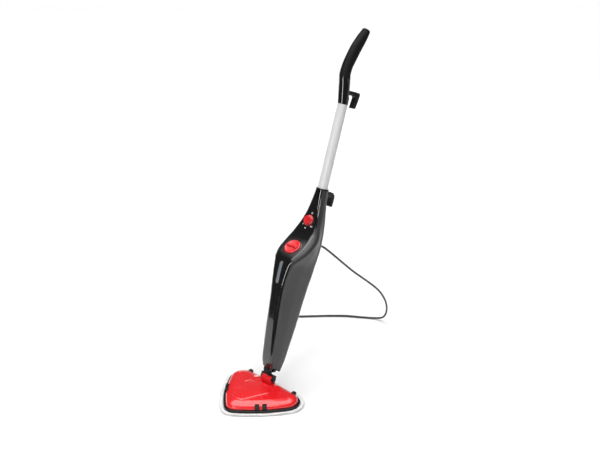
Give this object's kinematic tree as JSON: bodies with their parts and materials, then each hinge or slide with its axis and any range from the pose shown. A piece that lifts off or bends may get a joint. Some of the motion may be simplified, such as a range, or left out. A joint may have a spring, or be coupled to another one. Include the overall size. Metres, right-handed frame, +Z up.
{
  "type": "steam mop",
  "caption": "Upright steam mop with a triangular floor head, jointed neck, steam body with tank cap, dial and level window, tube, curved grip and a led-away mains cord.",
  "frame": {"origin": "on the floor, centred left to right under the head, on the cleaning pad's flat underside", "axes": "+Z up, +X to the right seen from the front, -Y is the front (control panel) side"},
  "size_m": [0.5014, 0.8143, 1.0971],
  "materials": {
    "microfibre": "matte",
    "black_trim": "satin",
    "black_base": "satin",
    "steel": "satin",
    "red_shell": "gloss",
    "red_knob": "satin",
    "alloy": "satin",
    "hose_rubber": "matte",
    "chassis_plastic": "matte",
    "black_gloss": "gloss",
    "grey_shell": "satin",
    "window_plastic": "gloss",
    "tank_plastic": "gloss",
    "bezel_grey": "gloss",
    "brass_parts": "satin",
    "pump_plastic": "matte",
    "board": "matte",
    "cord_rubber": "satin",
    "silver_tube": "satin",
    "grip_soft": "matte"
  },
  "bodies": {
    "head": {"cleaning_pad": "microfibre", "hook_strips": "black_trim", "base_plate": "black_base", "base_bosses": "black_base", "head_screws": "steel", "head_cover": "red_shell", "front_dome": "red_shell", "cover_clips": "black_base", "hinge_boss": "red_shell", "tilt_pin": "steel", "steam_diffuser": "alloy", "head_elbow": "hose_rubber"},
    "neck": {"neck_fork": "black_base", "neck_washers": "steel"},
    "pole": {"swing_barrel": "black_base", "swing_pin": "steel", "chassis": "chassis_plastic", "shell_screws": "steel", "front_panel": "black_gloss", "rear_shell_right": "grey_shell", "rear_shell_left": "grey_shell", "level_window": "window_plastic", "water_tank": "tank_plastic", "filler_ring": "bezel_grey", "filler_neck": "tank_plastic", "steam_valve": "chassis_plastic", "pump": "pump_plastic", "boiler": "alloy", "heater_terminals": "brass_parts", "thermostat": "chassis_plastic", "steam_outlet": "brass_parts", "steam_hose": "hose_rubber", "water_hose": "hose_rubber", "feed_hose": "hose_rubber", "circuit_board": "board", "cord_gland": "cord_rubber", "lower_cord_hook": "black_trim", "collar_ring": "black_trim", "pole_tube": "silver_tube", "handle_spigot": "chassis_plastic", "handle_shell": "grey_shell", "handle_inlay": "black_gloss", "grip_core": "chassis_plastic", "grip_cover": "grip_soft", "release_spring": "steel", "hook_pivot": "steel", "mains_cord": "cord_rubber", "cord_hank": "cord_rubber", "cord_tie": "black_trim", "mains_plug": "cord_rubber"},
    "cap_insert": {"cap_plug": "tank_plastic", "cap_seal": "hose_rubber", "cap_screw": "steel"},
    "tank_cap": {"tank_cap": "red_knob"},
    "steam_dial": {"steam_dial": "red_knob", "dial_shaft": "steel"},
    "release_button": {"release_button": "black_trim"},
    "upper_cord_hook": {"upper_cord_hook": "black_trim"}
  },
  "joints": [
    {"name": "neck_tilt", "type": "hinge", "parent": "head", "child": "neck", "pos_m": [0, 0.03663, 0.04803], "axis": [-1, 0, 0], "range_deg": [-19, 55]},
    {"name": "neck_swing", "type": "hinge", "parent": "neck", "child": "pole", "pos_m": [0, 0.04646, 0.07658], "axis": [0, 0.9455, -0.3256], "range_deg": [-45, 45]},
    {"name": "cap_lift", "type": "slide", "parent": "pole", "child": "cap_insert", "axis": [0, -0.4772, 0.8788], "range_m": [0, 0.03]},
    {"name": "cap_turn", "type": "hinge", "parent": "cap_insert", "child": "tank_cap", "pos_m": [0, 0.15023, 0.46179], "axis": [0, -0.4772, 0.8788], "range_deg": [0, 90]},
    {"name": "dial_turn", "type": "hinge", "parent": "pole", "child": "steam_dial", "pos_m": [0, 0.22198, 0.53227], "axis": [0, -0.8572, 0.515], "range_deg": [-60, 60]},
    {"name": "button_press", "type": "slide", "parent": "pole", "child": "release_button", "axis": [0, -0.9455, 0.3256], "range_m": [0, 0.002], "stiffness_N_per_m": 900, "springref_m": -0.002},
    {"name": "hook_turn", "type": "hinge", "parent": "pole", "child": "upper_cord_hook", "pos_m": [0, 0.41134, 0.90281], "axis": [0, 0.9455, -0.3256], "range_deg": [0, 180]}
  ]
}
